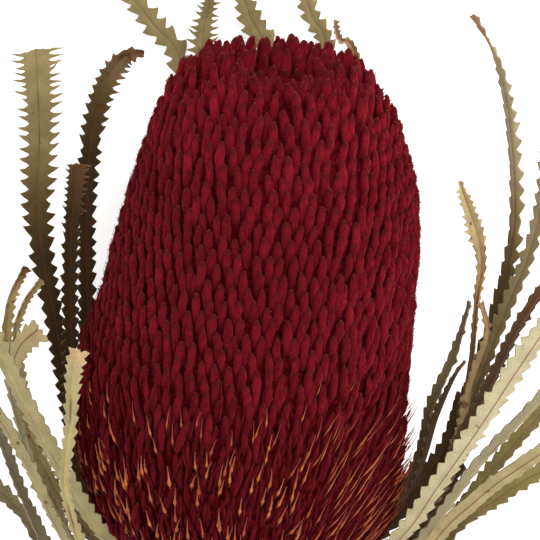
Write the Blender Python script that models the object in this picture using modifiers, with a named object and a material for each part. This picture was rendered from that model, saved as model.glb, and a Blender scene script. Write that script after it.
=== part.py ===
"""A dried banksia flower head on its cut, leafy stem, lying on its side.

The head's axis runs along +Y from its base at y = 0, level, at AXIS_HEIGHT over the table at z = 0.
The head lies on its own leaves, which it presses flat, and the cut stem droops behind it to the table.
"""

import math
import random

import bmesh
import bpy
from mathutils import Matrix, Vector

MM = 0.001
SEED = 7
ORIGIN = Vector((3.05, 8.15, 0.0)) * MM  # what the finished part has at its origin: the middle of its length

# The flower head. Its outline at the limbs' tips, in millimetres: how far along the axis, the radius there
# and how far the head bends to +X there. It ends inside the pit in the head's top.
HEAD_OUTLINE = [
    (0.0, 10.0, 0.5), (1.5, 19.0, 0.5), (4.0, 25.0, 0.6), (8.0, 29.8, 0.7), (14.0, 34.0, 0.7),
    (21.0, 37.1, 0.2), (29.0, 38.6, -0.8), (38.0, 38.8, -1.3), (48.0, 38.7, -1.8), (57.0, 37.9, -1.6),
    (66.0, 36.3, -0.1), (77.0, 35.1, 0.7), (88.0, 33.8, 1.5), (98.0, 32.0, 2.0), (107.0, 29.5, 1.6),
    (115.0, 26.4, 1.1), (120.0, 23.4, 0.4), (123.2, 20.2, 0.6), (124.8, 16.0, 1.0), (124.3, 12.0, 1.0),
    (121.5, 8.5, 1.0), (116.5, 5.5, 1.0),
]
AXIS_HEIGHT = 40.4 * MM
LIMBS_ROUND = 42            # limbs in one ring, halved near both ends of the head
RING_PITCH = 5.5 * MM
HALVED_UNDER = 20.5 * MM    # radius under which a ring has half as many limbs
LIMB_DEPTH = 3.4 * MM       # from a limb's tip down to the gap beside it
LIMB_LEAN = 0.45            # share of the ring pitch by which a tip leans towards the head's top
PIT_FLOOR = 113.0 * MM       # the pit's floor, along the axis
BASE_RADIUS = 6.0 * MM

# The styles: wiry bristles that stand out of the opened flowers of the lower head.
STYLES = 96
STYLE_LENGTH = 17.0 * MM
STYLE_RADIUS = 0.55 * MM
STYLE_ROOT = 5.0 * MM       # how far a style's root is sunk under the limbs' tips
STYLES_UP_TO = 62.0 * MM
STYLE_ANGLE = (52.0, 24.0)  # from the axis, at the base and at the topmost styles
TABLE_ROOM = 4.0 * MM       # no style comes nearer to the table than this
GOLDEN_ANGLE = math.pi * (3.0 - math.sqrt(5.0))

# The stem.
STEM_LENGTH = 122.0 * MM
STEM_RADIUS = 3.2 * MM
STEM_TOP_RADIUS = 4.6 * MM  # it swells where it carries the head
STEM_RINGS = 17
STEM_SIDES = 12
BARK_RIDGES = 0.06         # share of the radius by which the bark is ridged
JOINT_GAP = 0.35 * MM       # between two nodes that grow out of each other

# The leaves.
TOOTH_PITCH = 9.0 * MM
TOOTH_DEPTH = 1.5 * MM
LEAF_THICKNESS = 0.7 * MM
LEAF_ROOT_WIDTH = 2.2 * MM
LEAF_SPREAD, LEAF_RISE = 17.0 * MM, 7.0 * MM  # every leaf starts out this far outwards and upwards
LEAF_FOLD = 13.0            # degrees by which each half of a free blade is raised
FLAT_UNDER, FREE_OVER = 1.5 * MM, 13.0 * MM  # heights between which the table stops flattening a blade

# name, drop of its root below the head, full width at the root and at the tip, how far its face is turned
# about its length at the root and at the tip, then the points (x, y, z) that it runs through. Millimetres
# and degrees.
LEAVES = [
    ("leaf_under_1", 12, (8, 9), 0, 0,
     [(-24, 16, 0), (-18, 62, 0), (-22, 107, 0), (-31, 120, 3), (-44, 135, 7)]),
    ("leaf_under_2", 18, (7, 8), 0, 0,
     [(-9, 16, 0), (-6, 66, 0), (-17, 109, 4), (-17, 128, 8), (-17, 135, 10)]),
    ("leaf_under_3", 24, (8, 9), 0, 0, [(4, 16, 0), (6, 66, 0), (-1, 110, 0), (-8, 124, 3), (-14, 138, 8)]),
    ("leaf_under_4", 15, (7, 7), 0, 0, [(19, 16, 0), (18, 66, 0), (12, 114, 0), (7, 126, 2), (1, 140, 7)]),
    ("leaf_under_5", 30, (5, 4), 0, 50,
     [(31, 14, 0), (30, 76, 0), (19, 115, 2), (14, 121, 6), (12, 126, 9)]),
    ("leaf_left_1", 46, (4, 11), -45, -45,
     [(-38, 5, 11), (-48, 44, 11), (-54, 71, 12), (-55, 95, 15), (-56, 117, 20)]),
    ("leaf_left_2", 27, (4, 7), -40, -30,
     [(-38, 14, 4), (-42, 50, 6), (-43, 81, 8), (-42, 102, 10), (-37, 113, 12), (-31, 116, 14)]),
    ("leaf_left_3", 23, (4, 6), -50, -50, [(-40, 10, 17), (-44, 49, 18), (-45, 73, 20), (-45, 90, 22)]),
    ("leaf_left_4", 18, (4, 4), -50, -50, [(-45, 14, 36), (-57, 43, 36), (-58, 58, 36), (-55, 69, 36)]),
    ("leaf_left_5", 53, (4, 4), -30, -30, [(-47, 10, 25), (-56, 44, 27), (-55, 56, 28), (-51, 63, 28)]),
    ("leaf_left_6", 28, (5, 7), 20, 40, [(-44, 12, 45), (-55, 39, 46), (-54, 51, 46), (-49, 58, 46)]),
    ("leaf_left_7", 9, (6, 8), 30, 30, [(-35, 12, 57), (-44, 32, 59), (-54, 50, 59), (-65, 70, 58)]),
    ("leaf_left_8", 17, (4, 6), 40, 40,
     [(-32, 8, 66), (-39, 27, 69), (-40, 44, 70), (-39, 56, 69), (-39, 62, 68)]),
    ("leaf_left_9", 38, (6, 6), 25, 30, [(-41, 8, 51), (-50, 26, 52), (-59, 39, 51), (-74, 58, 49)]),
    ("leaf_left_10", 60, (5, 6), -15, -15, [(-46, 0, 38), (-53, 13, 37), (-58, 24, 36), (-69, 45, 34)]),
    ("leaf_left_11", 67, (5, 6), -15, -15, [(-46, -8, 29), (-56, 4, 27), (-68, 13, 26), (-88, 28, 25)]),
    ("leaf_right_1", 44, (5, 5), 20, 30,
     [(50, 11, 12), (52, 34, 14), (56, 57, 16), (59, 80, 18), (56, 104, 22), (51, 124, 28), (43, 137, 32)]),
    ("leaf_right_2", 28, (4, 5), 10, 70,
     [(47, 19, 36), (51, 48, 36), (51, 70, 37), (50, 83, 38), (44, 99, 38)]),
    ("leaf_right_3", 37, (5, 5), 30, 30,
     [(49, 20, 27), (54, 46, 28), (58, 65, 29), (62, 81, 30), (64, 99, 31), (62, 123, 32)]),
    ("leaf_right_4", 24, (4, 4), -25, -25, [(46, 30, 49), (51, 56, 50), (53, 67, 51), (51, 76, 52)]),
    ("leaf_right_5", 9, (5, 5), 5, 5, [(42, 19, 27), (45, 38, 28), (48, 54, 28), (50, 67, 29)]),
    ("leaf_right_6", 12, (5, 5), -20, -10, [(42, 22, 43), (45, 43, 45), (47, 54, 46), (49, 58, 46)]),
    ("leaf_right_7", 19, (6, 6), 40, 30, [(36, 4, 20), (43, 16, 21), (48, 26, 22), (50, 41, 22)]),
    ("leaf_right_8", 16, (6, 8), -30, -30,
     [(37, 19, 62), (44, 34, 63), (52, 49, 64), (60, 65, 63), (69, 82, 61)]),
    ("leaf_right_9", 33, (7, 8), -20, -20, [(44, 15, 51), (55, 35, 52), (67, 52, 51), (83, 73, 48)]),
    ("leaf_right_10", 54, (5, 6), 25, 25, [(45, 4, 38), (54, 19, 36), (65, 37, 35), (81, 60, 34)]),
    ("leaf_right_11", 67, (5, 5), -60, -60, [(43, 5, 45), (56, 24, 45), (69, 36, 44), (87, 52, 43)]),
    ("leaf_right_12", 75, (6, 6), 10, 20, [(46, -2, 29), (62, 16, 26), (76, 26, 25), (94, 38, 23)]),
    ("leaf_right_13", 21, (5, 5), -30, -30,
     [(44, 26, 57), (49, 42, 58), (54, 55, 58), (60, 70, 58), (70, 87, 56)]),
]

WOOD = ("banksia_wood", (0.23, 0.15, 0.09), 0.8)
WOOL = ("banksia_wool", (0.16, 0.008, 0.012), 0.85)
BLADE = ("banksia_blade", (0.34, 0.29, 0.17), 0.7)


def clear_scene():
    for thing in list(bpy.data.objects):
        bpy.data.objects.remove(thing, do_unlink=True)


def new_collection(name):
    made = bpy.data.collections.new(name)
    bpy.context.scene.collection.children.link(made)
    return made


def material(name, colour, roughness):
    made = bpy.data.materials.get(name) or bpy.data.materials.new(name)
    made.use_nodes = True
    shader = made.node_tree.nodes["Principled BSDF"]
    shader.inputs["Base Color"].default_value = (*colour, 1.0)
    shader.inputs["Roughness"].default_value = roughness
    shader.inputs["Metallic"].default_value = 0.0
    return made


def mesh_object(name, shape, collection, finish):
    """An object made from a bmesh, which it frees. The part's origin moves to ORIGIN."""
    bmesh.ops.translate(shape, verts=shape.verts, vec=-ORIGIN)
    mesh = bpy.data.meshes.new(name)
    shape.to_mesh(mesh)
    shape.free()
    thing = bpy.data.objects.new(name, mesh)
    thing.data.materials.append(material(*finish))
    collection.objects.link(thing)
    return thing


def smoothstep(value):
    value = min(1.0, max(0.0, value))
    return value * value * (3.0 - 2.0 * value)


def spline(points, share):
    """The point at a share, 0 to 1, of the way along a smooth curve through all the points."""
    spans = len(points) - 1
    place = min(share * spans, spans - 1e-9)
    i = int(place)
    t = place - i
    p1, p2 = points[i], points[i + 1]
    before = points[i - 1] if i else p1 * 2.0 - p2
    after = points[i + 2] if i + 2 <= spans else p2 * 2.0 - p1
    m1, m2 = (p2 - before) * 0.5, (after - p1) * 0.5
    return (
        p1 * (2 * t**3 - 3 * t**2 + 1) + m1 * (t**3 - 2 * t**2 + t)
        + p2 * (3 * t**2 - 2 * t**3) + m2 * (t**3 - t**2)
    )


class Route:
    """A smooth curve measured along its length."""

    SAMPLES = 240

    def __init__(self, points, settle=lambda point: point):
        shares = [i / self.SAMPLES for i in range(self.SAMPLES + 1)]
        self.points = [settle(spline(points, share)) for share in shares]
        self.reach = [0.0]
        for a, b in zip(self.points, self.points[1:]):
            self.reach.append(self.reach[-1] + (b - a).length)
        self.length = self.reach[-1]

    def at(self, distance):
        distance = min(self.length, max(0.0, distance))
        i = 1
        while self.reach[i] < distance:
            i += 1
        step = self.reach[i] - self.reach[i - 1]
        t = (distance - self.reach[i - 1]) / step if step else 0.0
        return self.points[i - 1].lerp(self.points[i], t)

    def along(self, distance):
        """The unit direction of the curve there."""
        near = self.length / self.SAMPLES
        return (self.at(distance + near) - self.at(distance - near)).normalized()


def head_bend(along_axis):
    """How far the head's middle is to +X there."""
    below = HEAD_OUTLINE[0]
    for above in HEAD_OUTLINE[1:]:
        if above[0] * MM > along_axis or above[0] < below[0]:
            break
        below = above
    span = (above[0] - below[0]) * MM
    share = min(1.0, max(0.0, (along_axis - below[0] * MM) / span)) if span > 0.0 else 0.0
    return (below[2] + (above[2] - below[2]) * share) * MM


def head_point(along_axis, radius, angle):
    """A point of the head in the part's frame. The angle is counted from +Z towards +X."""
    return Vector((
        head_bend(along_axis) + radius * math.sin(angle), along_axis,
        AXIS_HEIGHT + radius * math.cos(angle),
    ))


def outline_route():
    return Route([Vector((y * MM, r * MM, 0.0)) for y, r, bend in HEAD_OUTLINE])


def outward(outline, distance):
    """The unit normal of the head's outline, as (along the axis, radius)."""
    along = outline.along(distance)
    return Vector((-along.y, along.x, 0.0))


def add_limb_rings(shape, outline, draw):
    """Rings of raised tips with gaps between them. Each ring is turned by half a limb to the one before."""
    rings = []
    turns = 0
    for k in range(1, int(outline.length / RING_PITCH) + 1):
        distance = k * RING_PITCH
        wide = outline.at(distance).y >= HALVED_UNDER
        limbs = LIMBS_ROUND if wide else LIMBS_ROUND // 2
        if rings and limbs != rings[-1]["limbs"]:
            turns = 0
        gap = outline.at(distance) - outward(outline, distance) * LIMB_DEPTH
        ring = []
        for j in range(2 * limbs):
            angle = math.pi * j / limbs
            place = gap
            if (j + turns) % 2 == 0:
                tip = distance + RING_PITCH * LIMB_LEAN
                stand = draw.uniform(-0.5, 0.3) * MM
                place = outline.at(tip) + outward(outline, tip) * stand
                angle += draw.uniform(-0.12, 0.12) * math.pi / limbs
            ring.append(shape.verts.new(head_point(place.x, place.y, angle)))
        rings.append({"limbs": limbs, "verts": ring, "first": turns})
        turns = 1 - turns
    return rings


def join_equal_rings(shape, low, high):
    """Each cell between two rings is split from gap to gap, so that every tip is a pyramid's."""
    count = len(low["verts"])
    for j in range(count):
        a, b = low["verts"][j], low["verts"][(j + 1) % count]
        c, d = high["verts"][(j + 1) % count], high["verts"][j]
        if (j + low["first"]) % 2 == 0:
            shape.faces.new((a, b, d))
            shape.faces.new((b, c, d))
        else:
            shape.faces.new((a, b, c))
            shape.faces.new((a, c, d))


def join_halved_rings(shape, many, few):
    """Joins a ring to one with half as many points."""
    count = len(few["verts"])
    for m in range(count):
        a, b = many["verts"][2 * m], many["verts"][2 * m + 1]
        c = many["verts"][(2 * m + 2) % (2 * count)]
        d, e = few["verts"][m], few["verts"][(m + 1) % count]
        shape.faces.new((a, b, d))
        shape.faces.new((b, e, d))
        shape.faces.new((b, c, e))


def close_ring(shape, verts, centre):
    """A fan of faces from a ring to one point."""
    hub = shape.verts.new(centre)
    for j, vert in enumerate(verts):
        shape.faces.new((vert, verts[(j + 1) % len(verts)], hub))


def style_collection(outline, draw):
    """The styles as three-sided needles, spread by the golden angle over the lower head."""
    made = new_collection("styles")
    for i in range(STYLES):
        share = (i + 0.5) / STYLES
        # More of them low down, where all the flowers are open.
        distance = RING_PITCH * 2.0 + (STYLES_UP_TO - RING_PITCH) * share**1.2
        place = outline.at(distance)
        angle = i * GOLDEN_ANGLE + draw.uniform(-0.1, 0.1)
        tilt = math.radians(STYLE_ANGLE[0] + (STYLE_ANGLE[1] - STYLE_ANGLE[0]) * share)
        root = head_point(place.x, place.y - STYLE_ROOT, angle)
        side = Vector((math.sin(angle), 0.0, math.cos(angle)))
        direction = side * math.sin(tilt) + Vector((0.0, 1.0, 0.0)) * math.cos(tilt)
        tip = root + direction * STYLE_LENGTH
        if tip.z < TABLE_ROOM or root.z < TABLE_ROOM:
            continue
        shape = bmesh.new()
        turn = direction.to_track_quat("Z", "Y").to_matrix().to_4x4()
        bmesh.ops.create_cone(
            shape, cap_ends=True, segments=3, radius1=STYLE_RADIUS, radius2=0.0,
            depth=STYLE_LENGTH, matrix=Matrix.Translation((root + tip) / 2.0) @ turn,
        )
        bmesh.ops.recalc_face_normals(shape, faces=shape.faces)
        mesh_object(f"style_{i}", shape, made, WOOL)
    return made


def join_collection(thing, collection):
    """Fuses a collection's meshes into the object, then removes them."""
    union = thing.modifiers.new("join", "BOOLEAN")
    union.operation = "UNION"
    union.operand_type = "COLLECTION"
    union.collection = collection
    union.solver = "MANIFOLD"
    graph = bpy.context.evaluated_depsgraph_get()
    joined = bpy.data.meshes.new_from_object(thing.evaluated_get(graph))
    thing.modifiers.clear()
    thing.data = joined
    for member in list(collection.objects):
        bpy.data.objects.remove(member, do_unlink=True)
    bpy.data.collections.remove(collection)


def build_flower_head(collection):
    """The head: a spindle of woolly flower limbs, with a pit at its top, and styles on its lower part."""
    draw = random.Random(SEED)
    outline = outline_route()
    shape = bmesh.new()
    rings = add_limb_rings(shape, outline, draw)
    base = [
        shape.verts.new(head_point(0.0, BASE_RADIUS, math.pi * j / rings[0]["limbs"]))
        for j in range(2 * rings[0]["limbs"])
    ]
    rings.insert(0, {"limbs": rings[0]["limbs"], "verts": base, "first": 1 - rings[0]["first"]})
    for low, high in zip(rings, rings[1:]):
        if low["limbs"] == high["limbs"]:
            join_equal_rings(shape, low, high)
        elif low["limbs"] > high["limbs"]:
            join_halved_rings(shape, low, high)
        else:
            join_halved_rings(shape, high, low)
    close_ring(shape, base, head_point(0.0, 0.0, 0.0))
    close_ring(shape, rings[-1]["verts"], head_point(PIT_FLOOR, 0.0, 0.0))
    bmesh.ops.recalc_face_normals(shape, faces=shape.faces)
    head = mesh_object("flower_head", shape, collection, WOOL)
    join_collection(head, style_collection(outline, draw))


def stem_point(drop):
    """The middle of the stem at a distance behind the head. It droops till its cut end lies on the table."""
    share = max(0.0, drop) / STEM_LENGTH
    fall = (AXIS_HEIGHT - STEM_RADIUS) * share**1.7
    return Vector((0.0, -JOINT_GAP - drop, AXIS_HEIGHT - fall))


def stem_radius(drop):
    swell = math.exp(-drop / (6.0 * MM))
    return STEM_RADIUS + (STEM_TOP_RADIUS - STEM_RADIUS) * swell


def build_stem(collection):
    """A woody rod with shallow ridges, cut off at its far end."""
    draw = random.Random(SEED + 1)
    shape = bmesh.new()
    rings = []
    for i in range(STEM_RINGS):
        drop = STEM_LENGTH * (i / (STEM_RINGS - 1)) ** 1.2
        along = (stem_point(drop + 0.5 * MM) - stem_point(drop)).normalized() if i else Vector((0, -1, 0))
        up = Vector((1.0, 0.0, 0.0)).cross(along).normalized()
        ring = []
        for j in range(STEM_SIDES):
            angle = math.tau * j / STEM_SIDES
            ridge = 1.0 - BARK_RIDGES * draw.random()
            reach = Vector((math.cos(angle), 0.0, 0.0)) + up * math.sin(angle)
            ring.append(shape.verts.new(stem_point(drop) + reach * stem_radius(drop) * ridge))
        rings.append(ring)
    for low, high in zip(rings, rings[1:]):
        for j in range(STEM_SIDES):
            k = (j + 1) % STEM_SIDES
            shape.faces.new((low[j], low[k], high[k]))
            shape.faces.new((low[j], high[k], high[j]))
    shape.faces.new(rings[0])
    close_ring(shape, rings[-1], stem_point(STEM_LENGTH + 0.3 * MM))
    bmesh.ops.recalc_face_normals(shape, faces=shape.faces)
    mesh_object("stem", shape, collection, WOOD)


def on_table(point):
    """Keeps a leaf's route on or over the table."""
    return Vector((point.x, point.y, max(0.0, point.z)))


def leaf_route(drop, places):
    """The route starts beside the stem, spreads away from it and rises to its first place."""
    start = stem_point(drop)
    side = places[0] - start
    side.y = 0.0
    side.normalize()
    root = start + side * (stem_radius(drop) + JOINT_GAP + LEAF_THICKNESS)
    spread = root + side * LEAF_SPREAD + Vector((0.0, LEAF_RISE, 0.0))
    return Route([root, spread, *places], on_table)


def blade_frame(route, distance, turn_root, turn_tip):
    """(point, direction across the blade, normal of its upper face, share by which it is free)."""
    point = route.at(distance)
    along = route.along(distance)
    free = smoothstep((point.z - FLAT_UNDER) / (FREE_OVER - FLAT_UNDER))
    inward = Vector((-point.x, 0.0, AXIS_HEIGHT - point.z)).normalized()
    facing = Vector((0.0, 0.0, 1.0)).lerp(inward, free)
    across = along.cross(facing).normalized()
    turn = turn_root + (turn_tip - turn_root) * distance / route.length
    across = Matrix.Rotation(math.radians(turn) * free, 3, along) @ across
    return point, across, across.cross(along).normalized(), free


def half_width(distance, length, widths):
    """A blade's half width at its notches: narrow at its root, and tapered at its tip."""
    full = (widths[0] + (widths[1] - widths[0]) * distance / length) * MM / 2.0 - TOOTH_DEPTH
    grow = smoothstep(distance / (0.22 * length))
    taper = min(1.0, max(0.0, 1.0 - distance / length) / 0.10) ** 0.6
    root = LEAF_ROOT_WIDTH / 2.0
    return max(root + (full - root) * grow, 0.4 * MM) * max(taper, 0.3)


def build_leaf(collection, name, drop, widths, turn_root, turn_tip, places):
    """A toothed strap, folded along its midrib and thickened from its lower face upwards."""
    route = leaf_route(drop * MM, [Vector(place) * MM for place in places])
    teeth = round(route.length / TOOTH_PITCH)
    shape = bmesh.new()
    before = None
    for i in range(teeth + 1):
        distance = route.length * i / teeth
        point, across, normal, free = blade_frame(route, distance, turn_root, turn_tip)
        half = half_width(distance, route.length, widths)
        rise = math.tan(math.radians(LEAF_FOLD) * free)
        row = [
            shape.verts.new(point + (across * side + normal * rise * abs(side)) * half)
            for side in (-1.0, 0.0, 1.0)
        ]
        if before:
            add_blade_row(shape, before, row, route, distance, widths, (turn_root, turn_tip))
        before = row
    orient_up(shape, route)
    leaf = mesh_object(name, shape, collection, BLADE)
    thick = leaf.modifiers.new("thickness", "SOLIDIFY")
    thick.thickness = LEAF_THICKNESS
    thick.offset = 1.0


def add_blade_row(shape, before, row, route, distance, widths, turns):
    """The faces between two rows of notches, with a tooth on each side that points to the tip."""
    pitch = route.length / round(route.length / TOOTH_PITCH)
    place = distance - 0.25 * pitch
    point, across, normal, free = blade_frame(route, place, *turns)
    inner = half_width(place, route.length, widths)
    grow = smoothstep(place / (0.2 * route.length))
    half = inner + TOOTH_DEPTH * (0.15 + 0.85 * grow) * min(1.0, (route.length - place) / (1.3 * pitch))
    rise = math.tan(math.radians(LEAF_FOLD) * free)
    for side, edge in ((-1.0, 0), (1.0, 2)):
        tooth = shape.verts.new(point + (across * side + normal * rise) * half)
        shape.faces.new((before[1], row[1], before[edge]))
        shape.faces.new((row[1], row[edge], before[edge]))
        shape.faces.new((before[edge], row[edge], tooth))


def orient_up(shape, route):
    """Turns the faces so that the thickness goes to the blade's upper face."""
    bmesh.ops.recalc_face_normals(shape, faces=shape.faces)
    middle = route.length / 2.0
    normal = blade_frame(route, middle, 0.0, 0.0)[2]
    nearest = min(shape.faces, key=lambda face: (face.calc_center_median() - route.at(middle)).length)
    if nearest.normal.dot(normal) < 0.0:
        bmesh.ops.reverse_faces(shape, faces=shape.faces)


def main():
    clear_scene()
    collection = new_collection("banksia_cone")
    build_flower_head(collection)
    build_stem(collection)
    for leaf in LEAVES:
        build_leaf(collection, *leaf)


main()
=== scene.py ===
"""The looks of the banksia cone: a woolly flower head, its bark and its dry toothed leaves."""
import math

import bmesh
import bpy
import numpy as np
from mathutils import Matrix, Vector


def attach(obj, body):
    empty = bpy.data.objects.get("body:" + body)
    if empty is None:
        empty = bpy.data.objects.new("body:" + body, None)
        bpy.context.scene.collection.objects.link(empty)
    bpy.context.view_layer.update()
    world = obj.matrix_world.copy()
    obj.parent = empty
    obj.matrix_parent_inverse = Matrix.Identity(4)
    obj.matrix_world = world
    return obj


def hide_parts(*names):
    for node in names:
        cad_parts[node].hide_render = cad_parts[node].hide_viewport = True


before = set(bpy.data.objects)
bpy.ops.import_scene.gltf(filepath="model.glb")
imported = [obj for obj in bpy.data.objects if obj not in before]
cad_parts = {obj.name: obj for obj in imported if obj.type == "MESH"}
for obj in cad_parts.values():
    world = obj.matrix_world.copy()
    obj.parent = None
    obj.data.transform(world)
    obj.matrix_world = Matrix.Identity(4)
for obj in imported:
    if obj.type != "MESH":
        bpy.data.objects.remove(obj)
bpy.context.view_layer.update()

# Lengths are millimetres until a mesh is made. The head's base is at y = 0 and its axis at x = 0; the
# part's own origin is at ORIGIN. The sizes that the CAD part shares are the same as in its source.
MM = 0.001
SEED = 7
GOLDEN = math.pi * (3.0 - math.sqrt(5.0))
ORIGIN = np.array([3.05, 8.15, 0.0])
HEAD_OUTLINE = [  # (along the axis, radius at the limb tips, bend to +X)
    (0.0, 10.0, 0.5), (1.5, 19.0, 0.5), (4.0, 25.0, 0.6), (8.0, 29.8, 0.7), (14.0, 34.0, 0.7),
    (21.0, 37.1, 0.2), (29.0, 38.6, -0.8), (38.0, 38.8, -1.3), (48.0, 38.7, -1.8), (57.0, 37.9, -1.6),
    (66.0, 36.3, -0.1), (77.0, 35.1, 0.7), (88.0, 33.8, 1.5), (98.0, 32.0, 2.0), (107.0, 29.5, 1.6),
    (115.0, 26.4, 1.1), (120.0, 23.4, 0.4), (123.2, 20.2, 0.6), (124.8, 16.0, 1.0), (124.3, 12.0, 1.0),
    (121.5, 8.5, 1.0), (116.5, 5.5, 1.0),
]
AXIS_HEIGHT = 40.4
CORE_DEPTH = 2.1
EAST = np.array([1.0, 0.0, 0.0])  # the opened flowers of the lower head lean this way
STEM_LENGTH, STEM_RADIUS, STEM_TOP_RADIUS, JOINT_GAP = 122.0, 3.2, 4.6, 0.35
LEAF_THICKNESS = 0.7
LEAF_SPREAD, LEAF_RISE = 17.0, 7.0
FLAT_UNDER, FREE_OVER = 1.5, 13.0
FLOOR_GAP = 0.03
# The flower head: how far apart its limbs and their rows are, and how many spikes, styles and hairs it has.
LIMB_PITCH, ROW_STEP = 3.15, 3.65
SPIKES, STYLES, HAIRS_EACH = 1900, 1280, 26
SPIKE_LENGTH, WIDEST_SPIKE, HAIR_RADIUS = 7.5, 0.43, 0.075
# The bare middle of the dome, and the two hollows in it: how far aside and above they are, and half their
# size.
PIT_RADIUS, HOLLOWS_ASIDE, HOLLOWS_ABOVE = 4.0, (-3.9, 2.7), 0.3
HOLLOW_HALF_WIDTH, HOLLOW_HALF_HEIGHT = 2.7, 6.6
# A leaf's faces and its middle, above the sheet that it is built from. The rib sinks in above and stands out
# below.
UPPER_FACE, MIDDLE, LOWER_FACE = 0.46, 0.3, 0.12
RIB_SINKS, RIB_STANDS, RIB_HALF_WIDTH = 0.16, 0.42, 0.3
# The light: how bright the floor and the sky are, and (name, place in m, power, size in m) of each lamp.
FLOOR_GLOW, SKY_LIGHT = 0.66, 1.05
LAMPS = [("key", (0.3, 0.8, 0.8), 9.0, 0.6), ("fill", (0.9, -0.2, 0.9), 5.0, 0.9)]
# The camera: it looks down on the lying head, towards its top, and is rolled a little.
TARGET = np.array([2.3, 74.5, 40.4])
CAMERA_TILT, CAMERA_ROLL, CAMERA_AWAY, CAMERA_FOCAL, PICTURE = 20.0, 5.0, 700.0, 3043.0, 540.0

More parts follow.
